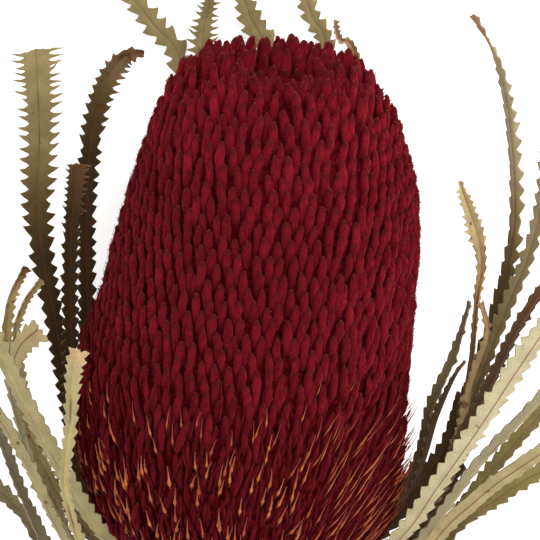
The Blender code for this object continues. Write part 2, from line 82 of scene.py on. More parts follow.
# Each leaf: name, where it joins the stem, and the points of its rib from root to tip. A point is given as
# seen in the photograph (across, down) with its height in mm. Then rows of (share of its length, half its
# width between the teeth, length of the teeth, turn in degrees), how far its halves fold up, how far
# apart its teeth are near the root, and how long and thin the teeth are at its tip.
LEAVES = [
    ("leaf_under_1", 12, [(150, 425, 0), (188, 254, 0), (183, 75, 0), (152, 22, 3), (98, -40, 7)],
     [(0, 0.81, 0.3, 0), (0.25, 1.48, 1.33, 0), (0.9, 1.48, 1.78, 0), (1, 0.52, 0.74, 0)], 8, 4.2, 0.3),
    ("leaf_under_2", 18, [(210, 431, 0), (238, 243, 0), (204, 73, 4), (209, 0, 8), (214, -24, 10)],
     [(0, 1.1, 0.4, 0), (0.25, 1.6, 1.6, 0), (0.9, 1.5, 2.6, 0), (1, 0.6, 1.0, 0)], 8, 2.7, 1.0),
    ("leaf_under_3", 24, [(262, 435, 0), (287, 247, 0), (272, 72, 0), (250, 16, 3), (229, -40, 8)],
     [(0, 0.88, 0.32, 0), (0.25, 1.84, 1.28, 0), (0.9, 1.92, 1.52, 0), (1, 0.56, 0.8, 0)], 8, 4.3, 0.2),
    ("leaf_under_4", 15, [(322, 440, 0), (336, 252, 0), (328, 60, 0), (311, 14, 2), (291, -44, 7)],
     [(0, 0.88, 0.32, 0), (0.25, 1.44, 1.28, 0), (0.85, 1.28, 1.36, 0), (0.93, 1.12, 1.36, 0),
      (1, 0.4, 0.8, 0)], 8, 3.8, 0.2),
    ("leaf_under_5", 30, [(370, 452, 0), (389, 217, 0), (357, 60, 2), (339, 38, 6), (334, 20, 9)],
     [(0, 1.1, 0.4, 0), (0.25, 1.2, 1.0, 0), (0.9, 0.9, 0.8, 30), (1, 0.35, 0.5, 75)], 20, 2.6, 0.5),
    ("leaf_left_1", 46, [(86, 480, 11), (56, 330, 11), (38, 222, 12), (39, 130, 15), (35, 48, 20)],
     [(0, 1.1, 0.4, -45), (0.25, 1.4, 1.0, -45), (0.62, 1.5, 1.2, -45), (0.71, 1.8, 1.7, -45),
      (0.78, 2.1, 2.2, -45), (0.85, 2.3, 2.6, -45), (0.92, 2.6, 3.1, -45), (1, 2.9, 3.3, -45)], 8, 3.4, 1.0),
    ("leaf_left_2", 27, [(92, 434, 4), (87, 300, 6), (87, 182, 8), (98, 102, 10), (119, 60, 12),
                         (144, 51, 14)],
     [(0, 1.1, 0.4, -40), (0.25, 1.2, 1.0, -40), (0.58, 1.3, 1.1, -38), (0.76, 1.4, 1.4, -36),
      (0.89, 1.9, 1.7, -36), (0.95, 2.1, 1.8, -32), (0.98, 1.4, 1.3, -30), (1, 0.4, 0.7, -30)], 10, 3.2, 0.6),
    ("leaf_left_3", 23, [(79, 469, 17), (70, 320, 18), (71, 230, 20), (77, 162, 22)],
     [(0, 1.1, 0.4, -50), (0.3, 1.1, 0.9, -50), (0.71, 1.2, 1.0, -50), (0.88, 1.4, 1.2, -50),
      (0.96, 1.7, 1.3, -50), (1, 1.8, 1.3, -50)], 10, 2.9, 1.0),
    ("leaf_left_4", 18, [(52, 484, 36), (10, 366, 36), (8, 306, 36), (24, 266, 36)],
     [(0, 1.1, 0.4, -20), (0.3, 1.2, 0.8, -50), (0.85, 1.15, 0.7, -55), (1, 0.9, 0.6, -40)], 25, 2.4, 0.5),
    ("leaf_left_5", 53, [(47, 480, 25), (16, 350, 27), (22, 306, 28), (40, 279, 28)],
     [(0, 1.1, 0.4, 0), (0.3, 1.0, 0.8, -30), (0.85, 0.9, 0.7, -35), (1, 0.8, 0.6, -35)], 25, 2.4, 0.5),
    ("leaf_left_6", 28, [(52, 508, 45), (12, 400, 46), (17, 352, 46), (40, 327, 46)],
     [(0, 1.1, 0.4, 0), (0.3, 1.5, 1.0, 20), (0.8, 1.7, 1.0, 30), (1, 2.4, 1.2, 50)], 6, 3.4, 0.2),
    ("leaf_left_7", 9, [(97, 529, 57), (52, 455, 59), (10, 376, 59), (-30, 290, 58)],
     [(0, 1.1, 0.3, 30), (0.3, 2.1, 1.1, 30), (0.9, 2.5, 1.4, 30), (1, 1.0, 0.6, 30)], 8, 3.2, 0.2),
    ("leaf_left_8", 17, [(96, 568, 66), (66, 495, 69), (70, 425, 70), (73, 374, 69), (79, 349, 68)],
     [(0, 1.1, 0.3, 20), (0.4, 0.9, 0.6, 40), (0.68, 0.95, 0.6, 40), (0.8, 1.0, 0.8, 40),
      (0.88, 1.2, 0.8, 40), (0.95, 1.5, 0.9, 42), (1, 1.7, 0.9, 50)], 4, 2.8, 0.2),
    ("leaf_left_9", 38, [(60, 534, 51), (26, 464, 52), (-8, 408, 51), (-70, 320, 49)],
     [(0, 1.1, 0.3, 20), (0.3, 2.1, 0.7, 25), (0.9, 2.3, 0.8, 30), (1, 1.0, 0.4, 30)], 8, 3.0, 0.2),
    ("leaf_left_10", 60, [(42, 540, 38), (18, 488, 37), (0, 440, 36), (-40, 350, 34)],
     [(0, 1.1, 0.3, 0), (0.3, 1.7, 1.0, -15), (0.9, 1.7, 1.0, -15), (1, 0.8, 0.4, 0)], 12, 2.8, 0.2),
    ("leaf_left_11", 67, [(45, 556, 29), (10, 502, 27), (-40, 462, 26), (-119, 396, 25)],
     [(0, 1.1, 0.3, 0), (0.3, 1.7, 1.0, -15), (0.9, 1.7, 1.0, -15), (1, 0.8, 0.4, 0)], 12, 2.8, 0.2),
    ("leaf_right_1", 44, [(446, 490, 12), (463, 408, 14), (492, 325, 16), (514, 235, 18), (513, 145, 22),
                          (500, 66, 28), (474, 14, 32)],
     [(0, 1.1, 0.4, 10), (0.25, 1.4, 1.2, 15), (0.7, 1.25, 1.3, 26), (0.86, 1.2, 1.3, 26),
      (0.935, 0.9, 0.9, 28), (0.965, 0.35, 0.3, 25), (0.98, 0.7, 0.9, 35), (1, 0.35, 1.2, 40)],
     -14, 4.4, 0.2),
    ("leaf_right_2", 28, [(440, 500, 36), (468, 388, 36), (478, 300, 37), (481, 250, 38), (460, 181, 38)],
     [(0, 1.1, 0.4, 0), (0.4, 1.0, 0.6, 10), (0.79, 0.75, 0.4, 30), (0.845, 0.8, 0.5, 60),
      (0.88, 1.1, 0.7, 65), (0.915, 1.6, 1.0, 70), (0.965, 1.1, 0.8, 70), (1, 0.3, 0.8, 70)], 10, 2.6, 0.5),
    ("leaf_right_3", 37, [(445, 480, 27), (478, 385, 28), (506, 312, 29), (531, 250, 30), (546, 180, 31),
                          (550, 80, 32)],
     [(0, 1.1, 0.4, 30), (0.25, 1.2, 1.0, 30), (0.9, 1.3, 1.2, 30), (1, 0.8, 0.7, 30)], 10, 3.8, 0.2),
    ("leaf_right_4", 24, [(440, 480, 49), (474, 380, 50), (489, 335, 51), (483, 302, 52)],
     [(0, 1.1, 0.4, 0), (0.3, 1.4, 1.0, -25), (0.85, 1.2, 0.8, -25), (1, 0.6, 0.5, -25)], 10, 3.0, 0.3),
    ("leaf_right_5", 9, [(408, 482, 27), (432, 407, 28), (456, 352, 28), (471, 302, 29)],
     [(0, 1.1, 0.4, 0), (0.3, 1.5, 1.0, 8), (0.85, 1.4, 1.0, 8), (1, 0.7, 0.5, 0)], 8, 3.2, 0.2),
    ("leaf_right_6", 12, [(409, 493, 43), (439, 415, 45), (455, 378, 46), (466, 362, 46)],
     [(0, 1.1, 0.4, 0), (0.3, 1.6, 1.1, -20), (0.85, 1.5, 1.0, -20), (1, 0.7, 0.5, 0)], 8, 3.0, 0.2),
    ("leaf_right_7", 19, [(385, 524, 20), (418, 484, 21), (446, 448, 22), (460, 392, 22)],
     [(0, 1.1, 0.4, 40), (0.3, 1.9, 1.1, 40), (0.7, 2.0, 1.2, 40), (0.85, 1.3, 1.0, 30), (1, 0.6, 0.4, 20)],
     8, 3.4, 0.2),
    ("leaf_right_8", 16, [(397, 542, 62), (437, 488, 63), (478, 430, 64), (519, 368, 63), (568, 296, 61)],
     [(0, 1.1, 0.3, -30), (0.3, 1.8, 1.1, -30), (0.6, 2.1, 1.4, -32), (0.9, 2.5, 1.6, -34),
      (1, 1.0, 0.6, -30)], 10, 3.4, 0.2),
    ("leaf_right_9", 33, [(425, 538, 51), (480, 465, 52), (540, 402, 51), (620, 320, 48)],
     [(0, 1.1, 0.3, -20), (0.3, 2.4, 1.3, -22), (0.9, 2.6, 1.5, -22), (1, 1.0, 0.6, -20)], 8, 3.6, 0.2),
    ("leaf_right_10", 54, [(425, 558, 38), (470, 500, 36), (522, 436, 35), (600, 350, 34)],
     [(0, 1.1, 0.3, 0), (0.3, 1.8, 1.0, 25), (0.9, 1.8, 1.0, 25), (1, 0.8, 0.4, 20)], 12, 3.2, 0.2),
    ("leaf_right_11", 67, [(418, 566, 45), (478, 499, 45), (540, 454, 44), (625, 395, 43)],
     [(0, 1.1, 0.3, -20), (0.3, 2.1, 0.4, -60), (0.9, 2.1, 0.4, -60), (1, 1.0, 0.3, -40)], 6, 3.0, 0.2),
    ("leaf_right_12", 75, [(425, 566, 29), (500, 498, 26), (560, 462, 25), (643, 420, 23)],
     [(0, 1.1, 0.3, 0), (0.3, 1.8, 1.2, 10), (0.9, 1.8, 1.2, 20), (1, 0.8, 0.4, 20)], 12, 3.0, 0.2),
    ("leaf_right_13", 21, [(431, 506, 57), (460, 441, 58), (489, 388, 58), (520, 326, 58), (567, 252, 56)],
     [(0, 1.1, 0.3, 0), (0.3, 1.3, 1.0, -30), (0.9, 1.5, 1.0, -30), (1, 0.8, 0.4, -20)], 10, 2.8, 0.2),
]

# Colours as seen in daylight, 0 to 255, turned to linear where they are used; DEEP is partly painted shade.
KHAKI, OLIVE, DEEP, BROWN = (152, 135, 88), (100, 82, 44), (68, 51, 25), (114, 80, 50)
SAND, STRAW, FELT, FELT_DIM = (176, 162, 124), (212, 186, 138), (180, 168, 124), (148, 137, 104)
TAN, PALE = (176, 154, 102), (168, 152, 106)
RIB_YELLOW, RIB_RED = (200, 176, 100), (122, 58, 36)
CLAW, STAIN = (178, 146, 108), (92, 52, 32)

# How each leaf looks: rows of (share of its length, colour) for the upper face and for the lower face, the
# colour of the rib on the lower face, how much its tip rolls up in degrees, how brown it is.
# Near the head, the dark DEEP towards a leaf's root is its own dark olive with painted shade from the head
# and leaves.
DARK_OVER = [(0.0, DEEP), (1.0, OLIVE)]
FELTED = [(0.0, FELT_DIM), (0.3, FELT), (1.0, FELT)]
DIM_FELT = [(0.0, FELT_DIM), (1.0, FELT_DIM)]
SHADED_BASE_TO_SAND = [(0.0, DEEP), (0.4, (98, 82, 50)), (0.6, (146, 130, 86)), (0.8, (172, 158, 120)), (1.0, SAND)]


def both(rows, *others):
    """The looks of a leaf whose two faces are alike."""
    return (rows, rows, *others)


LOOKS = {
    "leaf_under": ([(0.0, OLIVE), (0.6, PALE), (1.0, PALE)], DIM_FELT, RIB_YELLOW, 0, 0.1),
    "leaf_under_2": ([(0.0, OLIVE), (0.6, PALE), (0.93, PALE), (1.0, BROWN)], DIM_FELT, RIB_RED, 0, 0.4),
    "leaf_under_5": both([(0.0, BROWN), (1.0, CLAW)], RIB_RED, 70, 0.9),
    # leaf_left_1: painted shade on its dark base and painted light on its khaki tip.
    "leaf_left_1": ([(0.0, DEEP), (0.71, DEEP), (0.78, OLIVE), (0.86, (150, 134, 88)),
                     (1.0, (176, 158, 112))], DIM_FELT, RIB_RED, 0, 0.45),
    "leaf_left_2": ([(0.0, DEEP), (0.82, DEEP), (0.9, OLIVE), (0.95, (140, 114, 80)), (1.0, BROWN)],
                    DIM_FELT, RIB_YELLOW, 12, 0.75),
    "leaf_left_3": ([(0.0, DEEP), (0.9, DEEP), (1.0, BROWN)], DIM_FELT, RIB_YELLOW, 10, 0.6),
    "leaf_left_4": ([(0.0, FELT_DIM), (0.6, TAN), (0.94, TAN), (1.0, STAIN)],
                    [(0.0, FELT_DIM), (0.6, SAND), (0.9, TAN), (1.0, STAIN)], RIB_RED, 35, 0.6),
    "leaf_left_5": both([(0.0, FELT_DIM), (0.7, SAND), (1.0, TAN)], RIB_RED, 35, 0.4),
    "leaf_left_6": ([(0.0, OLIVE), (0.8, KHAKI), (1.0, (176, 150, 112))],
                    [(0.0, FELT_DIM), (0.8, FELT), (1.0, (190, 170, 126))], RIB_RED, 0, 0.4),
    "leaf_left": (DARK_OVER, FELTED, RIB_YELLOW, 0, 0.2),
    "leaf_left_10": ([(0.0, FELT_DIM), (1.0, (150, 142, 112))], FELTED, RIB_YELLOW, 0, 0.2),
    "leaf_left_11": ([(0.0, FELT_DIM), (1.0, (170, 160, 120))], FELTED, RIB_YELLOW, 0, 0.2),
    "leaf_left_8": (DARK_OVER, [(0.0, FELT_DIM), (0.4, FELT), (0.93, FELT), (1.0, (205, 170, 134))],
                    RIB_YELLOW, 6, 0.2),
    "leaf_left_9": (DARK_OVER, FELTED, RIB_YELLOW, 0, 0.65),
    # leaf_right_1: painted shade on its dark base; its pale upper face from 0.74 on is lightened as painted
    # light.
    "leaf_right_1": ([(0.0, DEEP), (0.47, DEEP), (0.66, (98, 82, 48)), (0.7, (136, 118, 74)),
                      (0.74, (178, 158, 112)), (0.785, (206, 190, 148)), (0.95, (206, 190, 148)),
                      (0.97, (206, 166, 124)), (1.0, (206, 156, 118))],
                     SHADED_BASE_TO_SAND, RIB_RED, 0, 0.1),
    "leaf_right_2": ([(0.0, DEEP), (0.5, OLIVE), (0.7, (160, 126, 88)), (0.84, (196, 156, 108)),
                      (0.9, STRAW), (1.0, STRAW)],
                     [(0.0, DEEP), (0.5, OLIVE), (0.7, BROWN), (0.85, STRAW), (1.0, CLAW)], RIB_RED, 8, 0.5),
    "leaf_right_3": both(SHADED_BASE_TO_SAND, RIB_RED, 0, 0.3),
    "leaf_right_4": both([(0.0, DEEP), (0.7, (142, 120, 80)), (1.0, CLAW)], RIB_RED, 50, 0.8),
    "leaf_right_5": both([(0.0, DEEP), (0.35, OLIVE), (0.6, KHAKI), (1.0, SAND)], RIB_RED, 0, 0.3),
    "leaf_right_6": both([(0.0, DEEP), (0.95, DEEP), (1.0, BROWN)], RIB_RED, 40, 0.5),
    "leaf_right_7": ([(0.0, DEEP), (0.9, (84, 66, 38)), (1.0, OLIVE)], DARK_OVER, RIB_RED, 0, 0.3),
    "leaf_right_8": (DARK_OVER, [(0.0, FELT), (0.4, (184, 172, 134)), (0.7, (198, 187, 152)),
                                 (1.0, (198, 187, 152))], RIB_RED, 0, 0.15),
    "leaf_right_9": (DARK_OVER, [(0.0, OLIVE), (0.4, (140, 130, 100)), (1.0, (158, 150, 120))], RIB_YELLOW,
                     0, 0.2),
    "leaf_right_11": both([(0.0, TAN), (1.0, SAND)], RIB_RED, 0, 0.45),
    "leaf_right_13": both([(0.0, DEEP), (1.0, (92, 66, 36))], RIB_RED, 0, 0.3),
    "leaf_right": both([(0.0, OLIVE), (0.5, (150, 134, 84)), (1.0, (176, 160, 104))], RIB_YELLOW, 0, 0.3),
}


def linear(colour):
    """A colour of 0 to 255 as linear light."""
    shares = np.asarray(colour, float) / 255.0
    return np.where(shares <= 0.04045, shares / 12.92, ((shares + 0.055) / 1.055) ** 2.4)


def camera_axes():
    """Directions to the camera's right, up and back."""
    tilt, roll = math.radians(CAMERA_TILT), math.radians(CAMERA_ROLL)
    back = Vector((0.0, math.sin(tilt), math.cos(tilt)))
    up = (Vector((0.0, 1.0, 0.0)) - back * back.y).normalized()
    right = (-back).cross(up)
    return right * math.cos(roll) + up * math.sin(roll), up * math.cos(roll) - right * math.sin(roll), back


def seen(across, down, height):
    """The point at a height that the camera sees at a place in the picture."""
    right, up, back = camera_axes()
    way = right * (across - PICTURE / 2.0) + up * (PICTURE / 2.0 - down) - back * CAMERA_FOCAL
    eye = Vector(TARGET) + back * CAMERA_AWAY
    return eye + way * ((height - eye.z) / way.z)


def smoothstep(value):
    value = np.clip(value, 0.0, 1.0)
    return value * value * (3.0 - 2.0 * value)


def spline(points, share):
    """The point at a share, 0 to 1, of the way along a smooth curve through all the points."""
    spans = len(points) - 1
    place = min(share * spans, spans - 1e-9)
    i = int(place)
    t = place - i
    p1, p2 = points[i], points[i + 1]
    before = points[i - 1] if i else p1 * 2.0 - p2
    after = points[i + 2] if i + 2 <= spans else p2 * 2.0 - p1
    m1, m2 = (p2 - before) * 0.5, (after - p1) * 0.5
    return (
        p1 * (2 * t**3 - 3 * t**2 + 1) + m1 * (t**3 - 2 * t**2 + t)
        + p2 * (3 * t**2 - 2 * t**3) + m2 * (t**3 - t**2)
    )


class Route:
    """A smooth curve measured along its length."""

    SAMPLES = 240

    def __init__(self, points, settle=lambda point: point):
        shares = [i / self.SAMPLES for i in range(self.SAMPLES + 1)]
        self.points = [settle(spline(points, share)) for share in shares]
        self.reach = [0.0]
        for a, b in zip(self.points, self.points[1:]):
            self.reach.append(self.reach[-1] + (b - a).length)
        self.length = self.reach[-1]

    def at(self, distance):
        distance = min(self.length, max(0.0, distance))
        i = int(np.searchsorted(self.reach, distance))
        i = min(max(i, 1), self.SAMPLES)
        step = self.reach[i] - self.reach[i - 1]
        t = (distance - self.reach[i - 1]) / step if step else 0.0
        return self.points[i - 1].lerp(self.points[i], t)

    def along(self, distance):
        near = self.length / self.SAMPLES
        return (self.at(distance + near) - self.at(distance - near)).normalized()


def attribute(mesh, name, values):
    made = mesh.attributes.new(name, "FLOAT_COLOR", "POINT")
    colours = np.ones((len(mesh.vertices), 4), np.float32)
    values = np.asarray(values, np.float32)
    colours[:, : values.shape[1]] = values
    made.data.foreach_set("color", colours.ravel())


def make_piece(name, verts, faces, finish, nodes, attributes=(), sharp=50.0):
    """A mesh in the part's frame that rides on its body and stands for the nodes."""
    mesh = bpy.data.meshes.new(name)
    mesh.from_pydata(((np.asarray(verts, float) - ORIGIN) * MM).tolist(), [], faces)
    for key, values in attributes:
        attribute(mesh, key, values)
    mesh.polygons.foreach_set("use_smooth", np.ones(len(mesh.polygons), bool))
    if sharp:
        mesh.set_sharp_from_angle(angle=math.radians(sharp))
    mesh.update()
    mesh.validate()
    thing = bpy.data.objects.new(name, mesh)
    bpy.context.scene.collection.objects.link(thing)
    mesh.materials.append(finish)
    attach(thing, "root")
    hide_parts(*nodes)
    return thing


# The materials.


class Finish:
    """A node material with short names for the nodes it is made of."""

    def __init__(self, name, roughness=0.8, sheen=0.0, sheen_tint=(1, 1, 1), specular=0.5):
        self.material = bpy.data.materials.new(name)
        self.material.use_nodes = True
        self.tree = self.material.node_tree
        self.shader = self.tree.nodes["Principled BSDF"]
        self.shader.inputs["Roughness"].default_value = roughness
        self.shader.inputs["Specular IOR Level"].default_value = specular
        self.shader.inputs["Sheen Weight"].default_value = sheen
        self.shader.inputs["Sheen Roughness"].default_value = 0.5
        self.shader.inputs["Sheen Tint"].default_value = (*sheen_tint, 1.0)
        coordinates = self.tree.nodes.new("ShaderNodeTexCoord")
        self.place = coordinates.outputs["Object"]

    def link(self, source, target):
        if hasattr(source, "is_output"):
            self.tree.links.new(source, target)
        else:
            target.default_value = source

    def noise(self, scale, detail=3.0, roughness=0.55, stretch=None):
        made = self.tree.nodes.new("ShaderNodeTexNoise")
        made.inputs["Scale"].default_value = scale
        made.inputs["Detail"].default_value = detail
        made.inputs["Roughness"].default_value = roughness
        place = self.place
        if stretch:
            mapping = self.tree.nodes.new("ShaderNodeMapping")
            mapping.inputs["Scale"].default_value = stretch
            self.link(place, mapping.inputs["Vector"])
            place = mapping.outputs["Vector"]
        self.link(place, made.inputs["Vector"])
        return made.outputs["Fac"]

    def parts(self, name):
        """The three numbers that an attribute holds at each point."""
        made = self.tree.nodes.new("ShaderNodeAttribute")
        made.attribute_name = name
        split = self.tree.nodes.new("ShaderNodeSeparateColor")
        self.link(made.outputs["Color"], split.inputs["Color"])
        return [split.outputs[i] for i in range(3)]

    def colour_of(self, name):
        made = self.tree.nodes.new("ShaderNodeAttribute")
        made.attribute_name = name
        return made.outputs["Color"]

    def span(self, value, low, high, to_low=0.0, to_high=1.0):
        """Takes low..high of a value to to_low..to_high, and stops there."""
        made = self.tree.nodes.new("ShaderNodeMapRange")
        made.clamp = True
        made.interpolation_type = "SMOOTHSTEP"
        for key, given in zip(("Value", "From Min", "From Max", "To Min", "To Max"),
                              (value, low, high, to_low, to_high)):
            self.link(given, made.inputs[key])
        return made.outputs["Result"]

    def sum(self, operation, a, b):
        made = self.tree.nodes.new("ShaderNodeMath")
        made.operation = operation
        self.link(a, made.inputs[0])
        self.link(b, made.inputs[1])
        return made.outputs["Value"]

    def mix(self, share, a, b, how="MIX"):
        made = self.tree.nodes.new("ShaderNodeMix")
        made.data_type = "RGBA"
        made.blend_type = how
        self.link(share, made.inputs["Factor"])
        for given, key in ((a, 6), (b, 7)):
            self.link((*given, 1.0) if isinstance(given, tuple) else given, made.inputs[key])
        return made.outputs[2]

    def bump(self, height, distance, strength=1.0):
        made = self.tree.nodes.new("ShaderNodeBump")
        made.inputs["Distance"].default_value = distance * MM
        made.inputs["Strength"].default_value = strength
        self.link(height, made.inputs["Height"])
        self.link(made.outputs["Normal"], self.shader.inputs["Normal"])

    def done(self, colour):
        self.link(colour, self.shader.inputs["Base Color"])
        return self.material


def tone(colour):
    return tuple(float(c) for c in linear(colour))


def wool_finish():
    """Crimson velvet: painted shade at the roots, brown towards the tips, a grey-brown painted highlight at
    the ends.
    """
    made = Finish("crimson_wool", roughness=0.95, sheen=0.32, sheen_tint=(0.62, 0.05, 0.07), specular=0.02)
    along, tone_pick, low = made.parts("limb")
    fibre = made.noise(3200, 2.0, 0.7)
    tuft = made.noise(820, 2.0, 0.6, stretch=(1.0, 0.45, 1.0))
    patch = made.noise(60, 2.0)
    # The limb's tone picks the body colour: chance, with painted light on the dome and painted shade round
    # its hollows.
    body = made.mix(made.span(tone_pick, -1.6, 2.4), tone((54, 5, 8)), tone((121, 21, 31)))
    body = made.mix(made.span(patch, 0.35, 0.65, 0.0, 0.5), body, tone((86, 10, 20)))
    body = made.mix(made.sum("MULTIPLY", low, 0.65), body, tone((64, 7, 11)))
    body = made.mix(made.span(tuft, 0.36, 0.5, 0.32, 0.0), body, tone((56, 6, 10)))
    body = made.mix(made.span(tuft, 0.52, 0.7, 0.0, 0.25), body, tone((118, 20, 29)))
    fuzz = made.mix(made.span(fibre, 0.35, 0.75), (0.7, 0.62, 0.62), (1.35, 1.4, 1.35))
    body = made.mix(1.0, body, fuzz, "MULTIPLY")
    # Painted shade: the limbs are darker towards their roots, down between them.
    body = made.mix(made.span(along, 0.0, 0.5), tone((74, 8, 13)), body)
    worn = made.span(along, 0.78, 0.94, 0.0, 0.78)
    body = made.mix(worn, body, tone((64, 18, 17)))
    # Painted highlight: a grey-brown spot at the very tip of each limb.
    body = made.mix(made.span(along, 0.98, 1.0, 0.0, 0.45), body, tone((116, 72, 58)))
    made.bump(made.sum("ADD", made.sum("MULTIPLY", fibre, 0.3), tuft), 0.5, 0.9)
    return made.done(body)


def core_finish():
    # Dark reds: the inside's own red, darkened as painted shade in the gaps between the limbs.
    made = Finish("head_core", roughness=1.0, specular=0.0)
    lump = made.noise(900, 3.0)
    made.bump(lump, 0.3)
    return made.done(made.mix(made.span(lump, 0.35, 0.65), tone((48, 5, 8)), tone((84, 10, 15))))


def style_finish():
    """Thin styles: dark red at the root, orange-brown at their thick lower part, dull red above."""
    made = Finish("orange_style", roughness=0.5, specular=0.35)
    along, tone_pick = made.parts("limb")[:2]
    fibre = made.noise(1500, 2.0)
    warm = made.mix(tone_pick, tone((134, 52, 18)), tone((180, 98, 38)))
    warm = made.mix(made.span(fibre, 0.35, 0.65, 0.0, 0.45), warm, tone((124, 40, 18)))
    thread = made.mix(tone_pick, tone((112, 38, 22)), tone((142, 72, 40)))
    colour = made.mix(made.span(along, 0.0, 0.12), tone((92, 20, 26)), warm)
    colour = made.mix(made.span(along, 0.4, 0.8), colour, thread)
    return made.done(colour)


def leaf_finish():
    """Dry leaf. Its broad colours and rib are in the mesh; mottling, grain, spots and worn edges are here."""
    made = Finish("dry_blade", roughness=0.75, sheen=0.06, sheen_tint=(1.0, 0.9, 0.7), specular=0.12)
    brownness, tooth = made.parts("mood")[:2]
    base = made.colour_of("tone")
    mottle = made.noise(220, 4.0, 0.6)
    grain = made.noise(2600, 2.0, 0.6)
    spots = made.noise(420, 2.0, 0.5)
    colour = made.mix(made.span(mottle, 0.3, 0.7), (0.86, 0.85, 0.8), (1.12, 1.1, 1.06))
    colour = made.mix(1.0, base, colour, "MULTIPLY")
    colour = made.mix(made.span(grain, 0.3, 0.75, 0.0, 0.22), colour, tone((80, 56, 36)))
    # Brown spots, more of them on leaves that are browner.
    limit = made.sum("SUBTRACT", 0.74, made.sum("MULTIPLY", brownness, 0.14))
    spot = made.span(spots, limit, made.sum("ADD", limit, 0.05), 0.0, 0.75)
    colour = made.mix(spot, colour, tone((76, 42, 26)))
    edge = made.span(tooth, 0.55, 1.0, 0.0, 0.45)
    colour = made.mix(edge, colour, tone((150, 118, 86)))
    made.bump(made.sum("ADD", mottle, made.sum("MULTIPLY", grain, 0.4)), 0.16, 0.7)
    return made.done(colour)


def bark_finish():
    """Grey-brown bark with fine cracks along the stem; the cut end shows pale wood with rings."""
    made = Finish("twig_bark", roughness=0.85, specular=0.25)
    ring, cut = made.parts("wood")[:2]
    streak = made.noise(900, 4.0, 0.6, stretch=(1.0, 0.12, 1.0))
    patch = made.noise(160, 3.0)
    speck = made.noise(1400, 2.0)
    bark = made.mix(made.span(streak, 0.32, 0.68), tone((72, 54, 42)), tone((132, 108, 84)))
    bark = made.mix(made.span(patch, 0.45, 0.75, 0.0, 0.6), bark, tone((150, 134, 112)))
    bark = made.mix(made.span(speck, 0.62, 0.75, 0.0, 0.6), bark, tone((60, 40, 30)))
    rings = made.sum("SINE", made.sum("MULTIPLY", ring, 46.0), 0.0)
    wood = made.mix(made.span(rings, -1.0, 1.0), tone((188, 154, 110)), tone((158, 122, 82)))
    wood = made.mix(made.span(ring, 0.0, 0.14), tone((110, 78, 54)), wood)
    made.bump(streak, 0.35, 0.8)
    return made.done(made.mix(cut, bark, wood))


# The flower head.


class Head:
    """The head's outline, and directions on it."""

    def __init__(self):
        self.route = Route([Vector((y, r, 0.0)) for y, r, bend in HEAD_OUTLINE])

    def bend(self, y):
        below = HEAD_OUTLINE[0]
        for above in HEAD_OUTLINE[1:]:
            if above[0] > y or above[0] < below[0]:
                break
            below = above
        span = above[0] - below[0]
        share = min(1.0, max(0.0, (y - below[0]) / span)) if span > 0.0 else 0.0
        return below[2] + (above[2] - below[2]) * share

    def radius_at(self, y):
        """The radius where the outline first reaches this far along the axis."""
        reached = (self.route.at(d) for d in np.arange(0.0, self.route.length, 0.5))
        return next(place.y for place in reached if place.x >= y)

    def point(self, y, radius, angle):
        return np.array([
            self.bend(y) + radius * math.sin(angle), y, AXIS_HEIGHT + radius * math.cos(angle),
        ])


def limb_lean(y, radius, top):
    """The angle between a limb and the axis. The limbs of the dome stand up, those of the base splay."""
    lean = 11.0 + 19.0 * smoothstep((56.0 - y) / 34.0) + 38.0 * smoothstep((15.0 - y) / 15.0)
    if y > 90.0:
        lean *= min(1.0, radius / 33.0) ** 1.4
    return math.radians(lean - 12.0 * top)


def directions(angle, lean, yaw, east):
    """Unit directions of a limb at an angle round the head: along it, across it and out of its front."""
    side = np.array([math.sin(angle), 0.0, math.cos(angle)])
    round_ = np.array([math.cos(angle), 0.0, -math.sin(angle)])
    along = np.array([0.0, math.cos(lean), 0.0]) + side * math.sin(lean) + EAST * east
    along /= np.linalg.norm(along)
    along = along * math.cos(yaw) + round_ * math.sin(yaw)
    across = round_ - along * round_.dot(along)
    across /= np.linalg.norm(across)
    return along, across, np.cross(across, along)


def tube_faces(rings, sides, first=0):
    """Faces of stacked rings of points, closed by a point before them and one after, which come last."""
    faces = []
    for j in range(sides):
        k = (j + 1) % sides
        for i in range(rings - 1):
            faces.append((i * sides + j, i * sides + k, (i + 1) * sides + k, (i + 1) * sides + j))
        faces.append((k, j, rings * sides))
        faces.append(((rings - 1) * sides + j, (rings - 1) * sides + k, rings * sides + 1))
    return [tuple(first + v for v in face) for face in faces]


def limb_rows(head):
    """(distance along the outline, how many limbs, first angle) of each row."""
    rows = []
    counts = [76, 68, 62, 56, 50, 44, 38, 32, 27, 22, 17, 13, 10]
    distance = 4.0
    turn = 0.0
    while distance < head.route.length - 3.0:
        place = head.route.at(distance)
        wanted = math.tau * place.y / LIMB_PITCH
        count = min(counts, key=lambda given: abs(given - wanted))
        rows.append((distance, count, turn * math.pi / count))
        turn = 1.0 - turn
        distance += ROW_STEP
    return rows


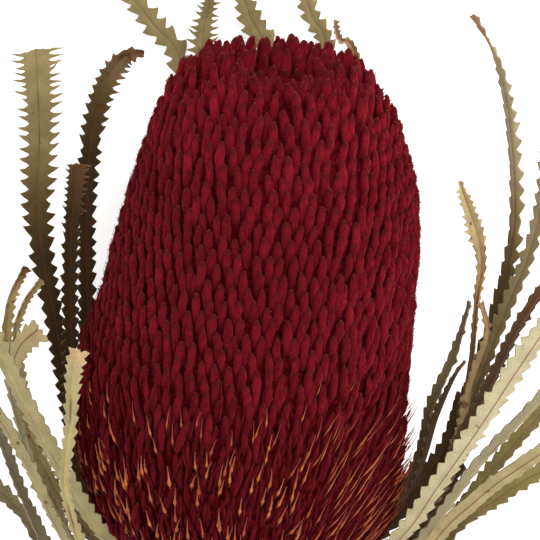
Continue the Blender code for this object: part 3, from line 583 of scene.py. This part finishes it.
def limb_table(head, draw):
    """One row of numbers for each limb: place of its tip, its directions, sizes and looks."""
    limbs = []
    for distance, count, first in limb_rows(head):
        for j in range(count):
            step = math.tau / count
            angle = first + j * step + draw.normal(0.0, 0.085) * step
            s = distance + draw.normal(0.0, 0.32)
            place = head.route.at(s)
            y, radius = place.x, place.y
            past = s > head.route.length * 0.5 and radius < 16.0
            aside, above = radius * math.sin(angle), radius * math.cos(angle)
            hollow = min(
                ((aside - x) / HOLLOW_HALF_WIDTH) ** 2 + ((above - HOLLOWS_ABOVE) / HOLLOW_HALF_HEIGHT) ** 2
                for x in HOLLOWS_ASIDE
            )
            if past and (radius < PIT_RADIUS or hollow < 1.0):
                continue
            low = float(smoothstep((72.0 - y) / 32.0))
            dome = float(smoothstep((y - 100.0) / 18.0))
            top = float(smoothstep((12.0 - radius) / 8.0)) if past else 0.0
            far = dome * float(smoothstep((0.35 - math.cos(angle)) / 0.5))
            far *= float(smoothstep((25.0 - radius) / 6.0))
            sunk = float(smoothstep((2.6 - hollow) / 1.2)) if past else 0.0
            lean = limb_lean(y, radius, top) + math.radians(draw.normal(0.0, 3.5 + 3.5 * low))
            yaw = math.radians(draw.normal(1.0, 3.5 + 3.0 * low + 4.0 * dome))
            east = 0.04 + 0.16 * float(smoothstep(math.sin(angle)))
            along, across, front = directions(angle, lean, yaw, east * low)
            tip = head.point(y, radius - 0.1 - abs(draw.normal(0.0, 0.25 + 0.45 * low)), angle)
            tip[1] += draw.normal(0.0, 0.3 + 0.5 * dome) + 0.9 * far - 1.6 * sunk
            size = 1.0 + draw.normal(0.0, 0.08)
            wide = (1.03 - 0.4 * low + 0.08 * dome + 0.4 * far) * size
            thick = (0.85 - 0.3 * low + 0.12 * dome + 0.3 * far) * size
            length = (8.6 - 0.6 * low + 3.0 * dome) * (1.0 + draw.normal(0.0, 0.06))
            # A limb's tone: chance, plus painted light on the dome and painted shade on the limbs round its
            # hollows.
            chance_and_painted_light = draw.random() + 1.1 * dome - 2.4 * sunk
            limbs.append((tip, along, across, front, wide, thick, length, low, chance_and_painted_light, y))
    return limbs


def add_spikes(head, draw, limbs):
    """Thin perianths that stick out between the limbs of the lower head."""
    for i in range(SPIKES):
        share = (i + 0.5) / SPIKES
        y = 2.0 + 62.0 * share**0.95
        angle = i * GOLDEN + draw.normal(0.0, 0.05)
        radius = head.radius_at(y)
        if draw.random() < 0.8 * float(smoothstep((y - 42.0) / 22.0)):
            continue
        lean = limb_lean(y, radius, 0.0) + math.radians(draw.normal(2.0, 6.0))
        yaw = math.radians(draw.normal(2.0, 9.0))
        east = 0.05 + 0.2 * float(smoothstep(math.sin(angle)))
        along, across, front = directions(angle, lean, yaw, east)
        tip = head.point(y, radius + draw.normal(-0.2, 0.5), angle)
        tip[1] += draw.normal(0.0, 0.5)
        wide = draw.uniform(0.22, 0.42)
        limbs.append((tip, along, across, front, wide, wide * 0.9, SPIKE_LENGTH, 1.0, draw.random(), y))


LIMB_SHARES = np.array([0.0, 0.24, 0.44, 0.6, 0.73, 0.84, 0.92, 0.972])
LIMB_ROUND = np.array([0.9, 0.95, 0.98, 1.0, 0.98, 0.9, 0.72, 0.44])
LIMB_SHARP = np.array([0.5, 0.75, 0.95, 1.0, 0.86, 0.62, 0.38, 0.17])


def limb_mesh(limbs, draw, sides):
    """Closed clubs, each with a rounded or pointed tip."""
    rings = len(LIMB_SHARES)
    turns = np.arange(sides) * math.tau / sides
    verts, looks = [], []
    for tip, along, across, front, wide, thick, length, low, tone_pick, y in limbs:
        blunt = 0.82 - max(0.57 * low, 0.22 * float(smoothstep((y - 112.0) / 10.0)))
        profile = LIMB_ROUND * blunt + LIMB_SHARP * (1.0 - blunt)
        root = tip - along * length
        middle = root + np.outer(LIMB_SHARES * length, along)
        middle += np.outer(np.sin(LIMB_SHARES * math.pi) * 0.55, front)
        middle += np.outer(np.sin(LIMB_SHARES * math.pi) * draw.normal(0.0, 0.16), across)
        ring = (
            np.outer(np.cos(turns) * wide, across) + np.outer(np.sin(turns) * thick, front)
        )
        body = middle[:, None, :] + profile[:, None, None] * ring[None, :, :]
        body += draw.normal(0.0, 0.1 * min(1.0, wide), body.shape)
        verts.append(np.vstack([body.reshape(-1, 3), root[None], tip[None]]))
        shares = np.append(np.repeat(LIMB_SHARES, sides), [0.0, 1.0])
        looks.append(np.stack([
            shares, np.full_like(shares, tone_pick), np.full_like(shares, low),
        ], axis=1))
    count = rings * sides + 2
    faces = [face for n in range(len(limbs)) for face in tube_faces(rings, sides, n * count)]
    return np.vstack(verts), faces, np.vstack(looks)


def fix_outward(verts, faces, inside):
    """Turns round the faces of a closed shape if the first one looks inwards."""
    a, b, c = (np.asarray(verts[i]) for i in faces[0][:3])
    if np.cross(b - a, c - a).dot((a + b + c) / 3.0 - inside) < 0.0:
        return [tuple(reversed(face)) for face in faces]
    return faces


def fuzz_mesh(limbs, draw, each):
    """Fine closed hairs that stand off the outer side of the limbs."""
    count = len(limbs) * each
    pick = np.repeat(np.arange(len(limbs)), each)
    tip, along, across, front = (np.array([limb[k] for limb in limbs])[pick] for k in range(4))
    wide, thick, length, low = (
        np.array([limb[k] for limb in limbs])[pick][:, None] for k in range(4, 8)
    )
    share = 0.42 + 0.57 * draw.random((count, 1)) ** 0.8
    turn = draw.uniform(-0.25, math.pi + 0.25, (count, 1))
    profile = np.interp(share[:, 0], LIMB_SHARES, LIMB_ROUND)[:, None]
    sharp = np.interp(share[:, 0], LIMB_SHARES, LIMB_SHARP)[:, None]
    profile = profile * (1.0 - low) + sharp * low
    out = across * np.cos(turn) + front * np.sin(turn)
    foot = tip - along * length * (1.0 - share) + front * 0.55 * np.sin(share * math.pi)
    foot += (across * np.cos(turn) * wide + front * np.sin(turn) * thick) * profile * 0.97
    way = out * 0.8 + along * draw.uniform(0.3, 1.6, (count, 1)) + draw.normal(0.0, 0.4, (count, 3))
    way /= np.linalg.norm(way, axis=1)[:, None]
    reach = draw.uniform(0.45, 1.15, (count, 1)) * (1.0 - 0.3 * low)
    beside = np.cross(way, out + draw.normal(0.0, 0.3, (count, 3)))
    beside /= np.linalg.norm(beside, axis=1)[:, None]
    other = np.cross(way, beside)
    corners = [
        foot + (beside * math.cos(a) + other * math.sin(a)) * HAIR_RADIUS
        for a in (0.0, math.tau / 3.0, 2.0 * math.tau / 3.0)
    ]
    verts = np.stack([*corners, foot + way * reach], axis=1).reshape(-1, 3)
    base = np.arange(count)[:, None] * 4
    pattern = np.array([[0, 1, 3], [1, 2, 3], [2, 0, 3], [2, 1, 0]])
    faces = (base[:, :, None] + pattern[None]).reshape(-1, 3)
    tone_pick = np.array([limb[8] for limb in limbs])[pick] + draw.uniform(-0.5, 0.8, count)
    looks = np.stack([share[:, 0] * 0.9, tone_pick, low[:, 0]], axis=1)
    return verts, [tuple(face) for face in faces.tolist()], np.repeat(looks, 4, axis=0)


def head_piece(name, verts, faces, looks, finish):
    """A piece of the head whose closed shells all look outwards."""
    orient_closed(make_piece(name, verts, faces, finish, ["flower_head"],
                             [("limb", looks)], sharp=None))


def build_limbs(head, finish):
    draw = np.random.default_rng(SEED)
    limbs = limb_table(head, draw)
    add_spikes(head, draw, limbs)
    bands = [("woolly_limbs_low", -9.0, 42.0), ("woolly_limbs_middle", 42.0, 84.0),
             ("woolly_limbs_top", 84.0, 200.0)]
    for name, low, high in bands:
        members = [limb for limb in limbs if low <= limb[9] < high]
        woolly = [limb for limb in members if limb[4] > WIDEST_SPIKE]
        thin = [limb for limb in members if limb[4] <= WIDEST_SPIKE]
        for group, sides, kind in ((woolly, 7, name), (thin, 4, name.replace("limbs", "spikes"))):
            if group:
                head_piece(kind, *limb_mesh(group, draw, sides), finish)
        head_piece(name.replace("limbs", "fuzz"), *fuzz_mesh(woolly, draw, HAIRS_EACH), finish)


def build_core(head, finish):
    """The red inside that shows between the limbs, darkened as painted shade."""
    draw = np.random.default_rng(SEED + 3)
    rings = []
    for s in np.arange(2.0, head.route.length - 6.0, 2.4):
        place, along = head.route.at(s), head.route.along(s)
        depth = CORE_DEPTH + 2.4 * float(smoothstep((place.x - 106.0) / 14.0))
        y = place.x + along.y * depth
        radius = place.y - along.x * depth
        rings.append((y, max(radius, 1.5)))
    sides = 90
    verts = [
        head.point(y, radius + draw.normal(0.0, 0.12), math.tau * j / sides)
        for y, radius in rings for j in range(sides)
    ]
    verts += [head.point(rings[0][0], 0.0, 0.0), head.point(rings[-1][0], 0.0, 0.0)]
    faces = fix_outward(verts, tube_faces(len(rings), sides), head.point(rings[0][0], 0.0, 0.0))
    make_piece("head_core", verts, faces, finish, ["flower_head"], sharp=None)


STYLE_SHARES = np.array([0.0, 0.3, 0.36, 0.42, 0.49, 0.58, 0.78, 1.0])
STYLE_RADII = np.array([0.1, 0.15, 0.33, 0.42, 0.34, 0.18, 0.12, 0.06])


def build_styles(head, finish):
    """Styles on the lower head: short ones in front and on the left, longer and fanning on the right."""
    draw = np.random.default_rng(SEED + 5)
    verts, looks, faces = [], [], []
    sides = 5
    rings = len(STYLE_SHARES)
    turns = np.arange(sides) * math.tau / sides
    for i in range(STYLES):
        share = (i + 0.5) / STYLES
        y = 2.0 + 58.0 * share**1.2
        angle = (i * GOLDEN + draw.normal(0.0, 0.06)) % math.tau
        if draw.random() < 0.25 + 0.7 * float(smoothstep((y - 42.0) / 16.0)) - 0.2 * math.sin(angle):
            continue
        radius = head.radius_at(y)
        right = max(0.0, math.sin(angle))
        rim = float(smoothstep((abs(math.sin(angle)) - 0.72) / 0.2))
        if draw.random() < 0.75 * rim * float(smoothstep((y - 24.0) / 14.0)):
            continue
        out = 6.2 + 4.4 * float(smoothstep((right - 0.2) / 0.6)) + draw.normal(0.0, 0.7)
        out *= (1.0 - 0.35 * float(smoothstep((y - 40.0) / 18.0))) * (1.0 - 0.42 * rim)
        lean = math.radians(36.0 - 0.34 * y - 10.0 * right + draw.normal(0.0, 4.0))
        yaw = math.radians(draw.normal(1.0, 5.0))
        east = 0.04 + 0.22 * float(smoothstep(math.sin(angle)))
        along, across, front = directions(angle, lean, yaw, east)
        start = head.point(y, radius - 0.6, angle)
        sunk = out * 0.35
        root = start - along * sunk
        length = out + sunk
        tip = root + along * length
        if min(tip[2], root[2]) < 1.0:
            continue
        hook = draw.normal(0.0, 0.28)
        middle = root + np.outer(STYLE_SHARES * length, along)
        middle += np.outer(STYLE_SHARES**3 * hook * 1.6, across)
        middle += np.outer(np.sin(STYLE_SHARES * math.pi) * 0.5, front)
        fat = 1.08 - 0.62 * float(smoothstep((right - 0.25) / 0.35)) + draw.normal(0.0, 0.09)
        fat *= 1.0 - 0.45 * float(smoothstep((y - 34.0) / 16.0))
        ring = np.outer(np.cos(turns), across) - np.outer(np.sin(turns), front)
        body = middle[:, None, :] + (STYLE_RADII * fat)[:, None, None] * ring[None, :, :]
        first = sum(len(block) for block in verts)
        verts.append(np.vstack([body.reshape(-1, 3), root[None], tip[None]]))
        shares = np.append(np.repeat(STYLE_SHARES, sides), [0.0, 1.0])
        shown = np.clip((shares - 0.24) / 0.76, 0.0, 1.0)
        looks.append(np.stack([shown, np.full_like(shown, draw.random())], 1))
        faces += tube_faces(rings, sides, first)
    head_piece("styles", np.vstack(verts), faces, np.vstack(looks), finish)


def orient_closed(piece):
    """Makes every closed shell of a piece look outwards."""
    shape = bmesh.new()
    shape.from_mesh(piece.data)
    bmesh.ops.recalc_face_normals(shape, faces=shape.faces)
    shape.to_mesh(piece.data)
    shape.free()


# The stem and leaves.


def stem_point(drop):
    share = max(0.0, drop) / STEM_LENGTH
    fall = (AXIS_HEIGHT - STEM_RADIUS) * share**1.7
    return Vector((0.0, -JOINT_GAP - drop, AXIS_HEIGHT - fall))


def stem_radius(drop):
    return STEM_RADIUS + (STEM_TOP_RADIUS - STEM_RADIUS) * math.exp(-drop / 6.0)


def build_stem(finish):
    draw = np.random.default_rng(SEED + 1)
    sides, rings = 28, 96
    scars = []
    for leaf in LEAVES:
        first = seen(*leaf[2][0])
        scars.append((leaf[1], math.atan2(first.z - stem_point(leaf[1]).z, first.x)))
    scars += [(drop, draw.uniform(0.0, math.tau)) for drop in range(82, 118, 6)]
    ridges = [(draw.integers(3, 9), draw.uniform(0.0, math.tau), draw.uniform(0.2, 0.5)) for _ in range(5)]
    verts, looks = [], []
    for i in range(rings):
        drop = STEM_LENGTH * i / (rings - 1)
        along = (stem_point(drop + 0.5) - stem_point(drop)).normalized() if i else Vector((0, -1, 0))
        up = Vector((1.0, 0.0, 0.0)).cross(along).normalized()
        for j in range(sides):
            angle = math.tau * j / sides
            ridge = sum(w * math.sin(n * angle + turn + drop * 0.05) for n, turn, w in ridges) * 0.035
            knob = 0.0
            for place, facing in scars:
                away = (angle - facing + math.pi) % math.tau - math.pi
                gap = math.hypot((drop - place) / 1.7, away * 3.0 / 1.5)
                knob += 0.55 * math.exp(-gap * gap) - 0.3 * math.exp(-((gap - 1.5) ** 2) * 5.0)
            radius = stem_radius(drop) * (0.97 - abs(draw.normal(0.0, 0.008)) + min(0.0, ridge))
            radius += max(-0.25, min(0.02, knob))
            reach = Vector((math.cos(angle), 0.0, 0.0)) + up * math.sin(angle)
            verts.append(stem_point(drop) + reach * radius)
            looks.append((1.0, 0.0))
    last = (rings - 1) * sides
    faces = []
    for i in range(rings - 1):
        for j in range(sides):
            k = (j + 1) % sides
            faces.append((i * sides + j, i * sides + k, (i + 1) * sides + k, (i + 1) * sides + j))
    faces.append(tuple(reversed(range(sides))))
    # The cut end: its rim is a little rounded, and its rings are in the material.
    centre = stem_point(STEM_LENGTH)
    before = list(range(last, last + sides))
    for share in (0.985, 0.66, 0.33):
        row = []
        for j in range(sides):
            edge = Vector(verts[last + j])
            row.append(len(verts))
            verts.append(centre + (edge - centre) * share + Vector((0.0, -0.12 - 0.1 * (1 - share), 0.0)))
            looks.append((share, 1.0))
        for j in range(sides):
            k = (j + 1) % sides
            faces.append((before[j], before[k], row[k], row[j]))
        before = row
    verts.append(centre + Vector((0.0, -0.25, 0.0)))
    looks.append((0.0, 1.0))
    for j in range(sides):
        faces.append((before[j], before[(j + 1) % sides], len(verts) - 1))
    piece = make_piece("twig", [list(v) for v in verts], faces, finish, ["stem"],
                       [("wood", looks)], sharp=60.0)
    orient_closed(piece)


def on_table(point):
    return Vector((point.x, point.y, max(0.0, point.z)))


def leaf_route(drop, places):
    start = stem_point(drop)
    side = places[0] - start
    side.y = 0.0
    side.normalize()
    root = start + side * (stem_radius(drop) + JOINT_GAP + LEAF_THICKNESS)
    spread = root + side * LEAF_SPREAD + Vector((0.0, LEAF_RISE, 0.0))
    return Route([root, spread, *places], on_table)


def look_of(name):
    for key in (name, name.rsplit("_", 1)[0]):
        if key in LOOKS:
            return LOOKS[key]
    raise KeyError(name)


LEAF_SHADE = 0.7  # the studio light is strong, so a leaf's own colour is darker than it looks


def along_rows(rows, share):
    """The colours at each share, between the colours of the rows."""
    shares = [row[0] for row in rows]
    colours = linear([row[1] for row in rows]) * LEAF_SHADE
    return np.stack([np.interp(share, shares, colours[:, k]) for k in range(3)], axis=1)


COLUMNS = (-1.0, -0.66, -0.34, -0.12, 0.0, 0.12, 0.34, 0.66, 1.0)
# A tooth's outline beyond the notches: (place within its pitch, share of its depth), for a plain tooth
# and for a long thin one.
TOOTH = np.array([(0.22, 0.36), (0.48, 0.74), (0.74, 1.0), (0.86, 0.44)])
THIN_TOOTH = np.array([(0.30, 0.20), (0.56, 0.58), (0.92, 1.0), (0.80, 0.34)])


class Blade:
    """Builds one leaf as a sheet with a thickness, then closes it."""

    def __init__(self, name, drop, places, shape, fold, pitch, thin, draw):
        self.name, self.draw, self.pitch, self.thin, self.folded = name, draw, pitch, thin, fold
        self.route = leaf_route(drop, [seen(*place) for place in places])
        self.shape = np.array(shape, float)
        self.upper, self.lower, self.rib, self.roll, self.brown = look_of(name)
        self.points, self.normals, self.marks = [], [], []
        self.faces = []
        self.blunt = shape[-1][1] > 1.5

    def shaped(self, distance, column):
        return float(np.interp(distance / self.route.length, self.shape[:, 0], self.shape[:, column]))

    def frame(self, distance):
        """(point, direction across the blade, normal of its upper face, share by which it is free)."""
        point = self.route.at(distance)
        along = self.route.along(distance)
        free = float(smoothstep((point.z - FLAT_UNDER) / (FREE_OVER - FLAT_UNDER)))
        inward = Vector((-point.x, 0.0, AXIS_HEIGHT - point.z)).normalized()
        facing = Vector((0.0, 0.0, 1.0)).lerp(inward, free)
        across = along.cross(facing).normalized()
        turn = math.radians(self.shaped(distance, 3)) * free
        across = Matrix.Rotation(turn, 3, along) @ across
        return point, across, across.cross(along).normalized(), free

    def fold(self, distance, free):
        share = distance / self.route.length
        return math.radians(self.folded * free + self.roll * float(smoothstep((share - 0.6) / 0.4)))

    def add(self, distance, out, mark, lift=0.0):
        """A point at a signed distance out from the midrib. The halves bend up as a curve.

        Its mark is (distance out, share of the length, share of a tooth's length).
        """
        point, across, normal, free = self.frame(distance)
        fold = self.fold(distance, free)
        side, away = (1.0 if out >= 0.0 else -1.0), abs(out)
        bend = fold * min(1.0, away / 2.5)
        place = point + (across * (side * math.cos(bend)) + normal * math.sin(bend)) * away
        place = place + normal * lift
        self.points.append(np.array(place))
        self.normals.append(np.array(normal))
        self.marks.append(mark)
        return len(self.points) - 1

    def notches(self):
        """Distances of the notches along the blade. The teeth are closer together near the tip."""
        length = self.route.length
        places = [0.0]
        while places[-1] < length:
            share = places[-1] / length
            step = self.pitch * (1.0 - (0.3 + 0.2 * self.thin) * float(smoothstep((share - 0.8) / 0.2)))
            places.append(places[-1] + step * (1.0 + self.draw.normal(0.0, 0.07)))
        return np.array(places) * length / places[-1]

    def rows(self):
        length = self.route.length
        self.at = self.notches()
        self.teeth = len(self.at) - 1
        rows = []
        for i in range(self.teeth * 3 + 1):
            k, part = min(i // 3, self.teeth - 1), i / 3.0 - min(i // 3, self.teeth - 1)
            distance = self.at[k] + (self.at[k + 1] - self.at[k]) * part
            half = self.shaped(distance, 1)
            row = []
            for u in COLUMNS:
                here = distance
                if self.blunt and i == self.teeth * 3:
                    here -= abs(self.draw.normal(0.0, 0.5))
                row.append(self.add(here, u * half, (u * half, here / length, 0.0)))
            rows.append(row)
        for low, high in zip(rows, rows[1:]):
            for j in range(len(COLUMNS) - 1):
                self.faces.append((low[j], low[j + 1], high[j + 1], high[j]))
        return rows

    def add_teeth(self, rows):
        draw = self.draw
        length = self.route.length
        for k in range(self.teeth):
            thin = self.thin * float(smoothstep((self.at[k] / length - 0.72) / 0.22))
            outline = TOOTH * (1.0 - thin) + THIN_TOOTH * thin
            pitch = self.at[k + 1] - self.at[k]
            for side, edge in ((-1.0, 0), (1.0, len(COLUMNS) - 1)):
                base = [rows[3 * k + n][edge] for n in range(4)]
                size = 1.0 + draw.normal(0.0, 0.08)
                if draw.random() < 0.02 + 0.05 * self.brown:
                    size *= 0.5
                bend = draw.normal(-0.1, 0.15 + 0.35 * thin) * (1.0 + self.brown)
                slide = draw.normal(0.0, 0.1)
                made = []
                for place, share in outline:
                    distance = min(length, self.at[k] + (place + slide * share) * pitch)
                    depth = self.shaped(distance, 2) * size
                    out = self.shaped(distance, 1) + depth * share
                    mark = (side * out, distance / length, share)
                    made.append(self.add(distance, side * out, mark, bend * share * share))
                o1, o2, tip, back = made
                parts = [(base[0], base[1], o1), (base[1], base[2], o2, o1),
                         (base[2], base[3], back, o2), (o2, back, tip)]
                if side < 0.0:
                    parts = [tuple(reversed(part)) for part in parts]
                self.faces += [tuple(reversed(part)) for part in parts]

    def close(self):
        """Two faces and an edge. The rib stands out below and sinks in above."""
        count = len(self.points)
        points, normals = np.array(self.points), np.array(self.normals)
        marks = np.array(self.marks, float)
        out = np.abs(marks[:, 0])
        ridge = np.exp(-((out / RIB_HALF_WIDTH) ** 2))
        grown = np.clip(marks[:, 1] * 8.0, 0.25, 1.0)
        top = UPPER_FACE - RIB_SINKS * ridge * grown
        bottom = LOWER_FACE - RIB_STANDS * ridge * grown * (1.0 - 0.5 * marks[:, 1])
        thin = 1.0 - 0.45 * marks[:, 2]
        upper = points + normals * (MIDDLE + (top - MIDDLE) * thin)[:, None]
        lower = points + normals * (MIDDLE + (bottom - MIDDLE) * thin)[:, None]
        lower[:, 2] = np.maximum(lower[:, 2], FLOOR_GAP)
        upper[:, 2] = np.maximum(upper[:, 2], FLOOR_GAP + 0.2)
        verts = np.vstack([upper, lower])
        ways = {(face[i], face[(i + 1) % len(face)]) for face in self.faces for i in range(len(face))}
        faces = list(self.faces)
        faces += [tuple(v + count for v in reversed(face)) for face in self.faces]
        faces += [(b, a, a + count, b + count) for a, b in ways if (b, a) not in ways]
        return verts, faces, np.vstack([marks, marks]), ridge

    def colours(self, marks, ridge):
        """The broad colour of each point of the upper and the lower face."""
        count = len(marks) // 2
        share = marks[:count, 1]
        upper, lower = along_rows(self.upper, share), along_rows(self.lower, share)
        share = share[:, None]
        wave = np.sin(share * self.route.length * 0.35 + self.draw.uniform(0, 6)) * np.sin(
            share * self.route.length * 0.13 + self.draw.uniform(0, 6))
        stained = np.clip(wave * 1.5 + self.brown - 0.35, 0.0, 1.0)
        rib = linear(self.rib) * (1.0 - stained) + linear(RIB_RED) * stained
        line = (ridge**3)[:, None]
        lower = lower * (1.0 - line) + rib * LEAF_SHADE * line
        groove = (ridge**8)[:, None] * (0.35 + 0.5 * stained)
        upper = upper * (1.0 - groove) + linear(RIB_RED) * LEAF_SHADE * groove
        return np.vstack([upper, lower])

    def build(self, finish):
        self.add_teeth(self.rows())
        verts, faces, marks, ridge = self.close()
        mood = np.stack([np.full(len(marks), self.brown), marks[:, 2]], 1)
        piece = make_piece(
            self.name + "_blade", verts, faces, finish, [self.name],
            [("tone", self.colours(marks, ridge)), ("mood", mood)], sharp=45.0,
        )
        orient_closed(piece)


# The stage, light and camera.


def build_stage():
    floor_mesh = bpy.data.meshes.new("floor")
    reach = 3.0
    floor_mesh.from_pydata(
        [(-reach, -reach, 0.0), (reach, -reach, 0.0), (reach, reach, 0.0), (-reach, reach, 0.0)], [],
        [(0, 1, 2, 3)],
    )
    floor = bpy.data.objects.new("floor", floor_mesh)
    bpy.context.scene.collection.objects.link(floor)
    made = Finish("pale_floor", roughness=0.9, specular=0.1)
    grain = made.noise(8, 2.0)
    made.shader.inputs["Emission Color"].default_value = (1.0, 1.0, 1.0, 1.0)
    made.shader.inputs["Emission Strength"].default_value = FLOOR_GLOW
    floor_mesh.materials.append(made.done(made.mix(grain, (0.62, 0.62, 0.62), (0.65, 0.65, 0.65))))

    world = bpy.data.worlds.new("studio")
    bpy.context.scene.world = world
    world.use_nodes = True
    sky = world.node_tree.nodes["Background"]
    sky.inputs["Color"].default_value = (1.0, 1.0, 1.0, 1.0)
    sky.inputs["Strength"].default_value = SKY_LIGHT

    for name, place, power, size in LAMPS:
        light = bpy.data.lights.new(name, "AREA")
        light.shape = "DISK"
        light.size = size
        light.energy = power
        thing = bpy.data.objects.new(name, light)
        bpy.context.scene.collection.objects.link(thing)
        thing.location = place
        thing.rotation_euler = (Vector((0.0, 0.03, 0.04)) - Vector(place)).to_track_quat("-Z", "Y").to_euler()


def build_camera():
    right, up, back = camera_axes()
    camera = bpy.data.cameras.new("camera")
    camera.sensor_width = 36.0
    camera.lens = camera.sensor_width * CAMERA_FOCAL / PICTURE
    camera.clip_start, camera.clip_end = 0.05, 20.0
    thing = bpy.data.objects.new("camera", camera)
    bpy.context.scene.collection.objects.link(thing)
    columns = Matrix((right, up, back)).transposed()
    eye = (Vector(TARGET - ORIGIN) + back * CAMERA_AWAY) * MM
    thing.matrix_world = Matrix.Translation(eye) @ columns.to_4x4()
    bpy.context.scene.camera = thing


def main():
    build_camera()
    build_stage()
    head = Head()
    build_core(head, core_finish())
    build_limbs(head, wool_finish())
    build_styles(head, style_finish())
    build_stem(bark_finish())
    blade = leaf_finish()
    draw = np.random.default_rng(SEED + 2)
    for leaf in LEAVES:
        Blade(*leaf, draw).build(blade)
    bpy.context.scene.view_settings.view_transform = "Standard"
    bpy.context.scene.view_settings.look = "None"


main()
